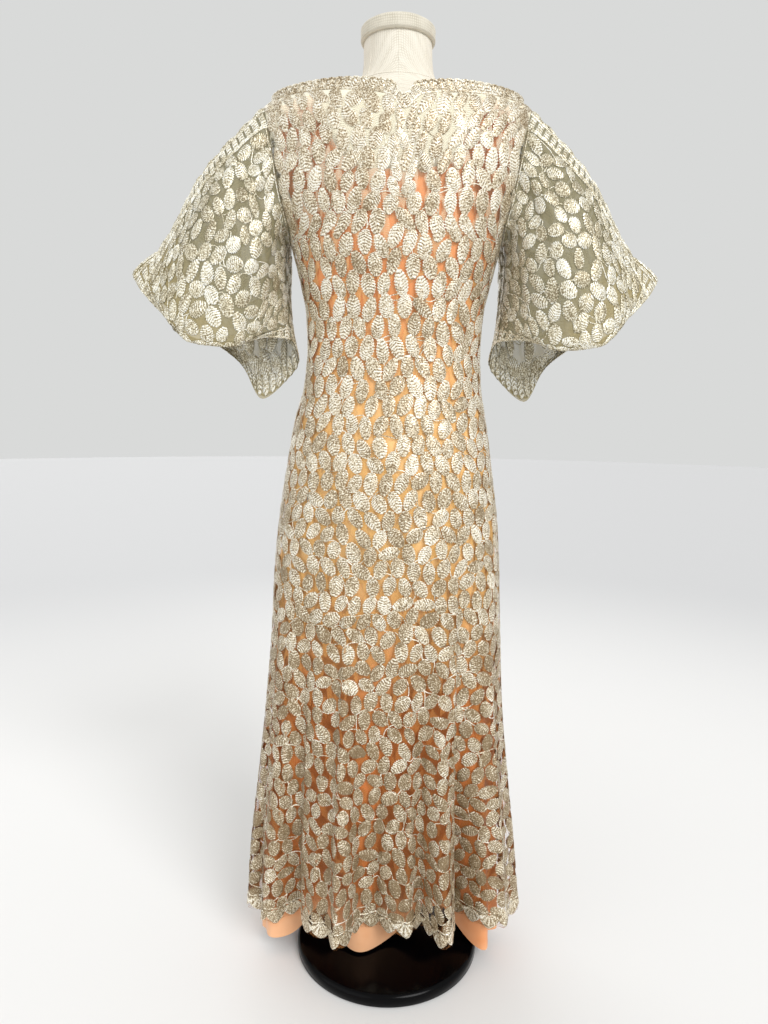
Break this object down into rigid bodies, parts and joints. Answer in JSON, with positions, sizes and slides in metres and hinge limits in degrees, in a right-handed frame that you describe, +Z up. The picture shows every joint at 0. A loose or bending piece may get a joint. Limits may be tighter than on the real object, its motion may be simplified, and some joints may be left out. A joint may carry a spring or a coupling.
{
  "type": "lace dress on a dress form",
  "caption": "Floor-length gown of metallic leaf lace with wide open sleeves over an under-slip, worn by a limbless dress form on a round base.",
  "frame": {"origin": "On the floor, at the centre of the flat underside of the round base, under the pole's axis.", "axes": "+Z is up along the pole. -Y is the way the gown's back faces, which is the side the picture shows, and +Y is its front. +X is the wearer's right, across the shoulders."},
  "size_m": [0.859, 0.326, 1.56],
  "materials": {
    "lace": "metallic cord leaves on a fine net ground",
    "trim": "corded ladder lace",
    "slip": "soft crepe",
    "linen": "plain woven linen cover",
    "pole": "satin black",
    "base": "high gloss black"
  },
  "bodies": {
    "root": {"gown_back": "lace", "gown_front": "lace", "sleeve_left_back": "lace", "sleeve_left_front": "lace", "sleeve_right_back": "lace", "sleeve_right_front": "lace", "arm_band_left": "trim", "arm_band_right": "trim", "cuff_left_back": "trim", "cuff_left_front": "trim", "cuff_right_back": "trim", "cuff_right_front": "trim", "neck_border_back": "trim", "neck_border_front": "trim", "slip_back": "slip", "slip_front": "slip", "form_torso": "linen", "form_neck_cap": "linen", "form_pole": "pole", "form_base": "base"}
  },
  "joints": []
}
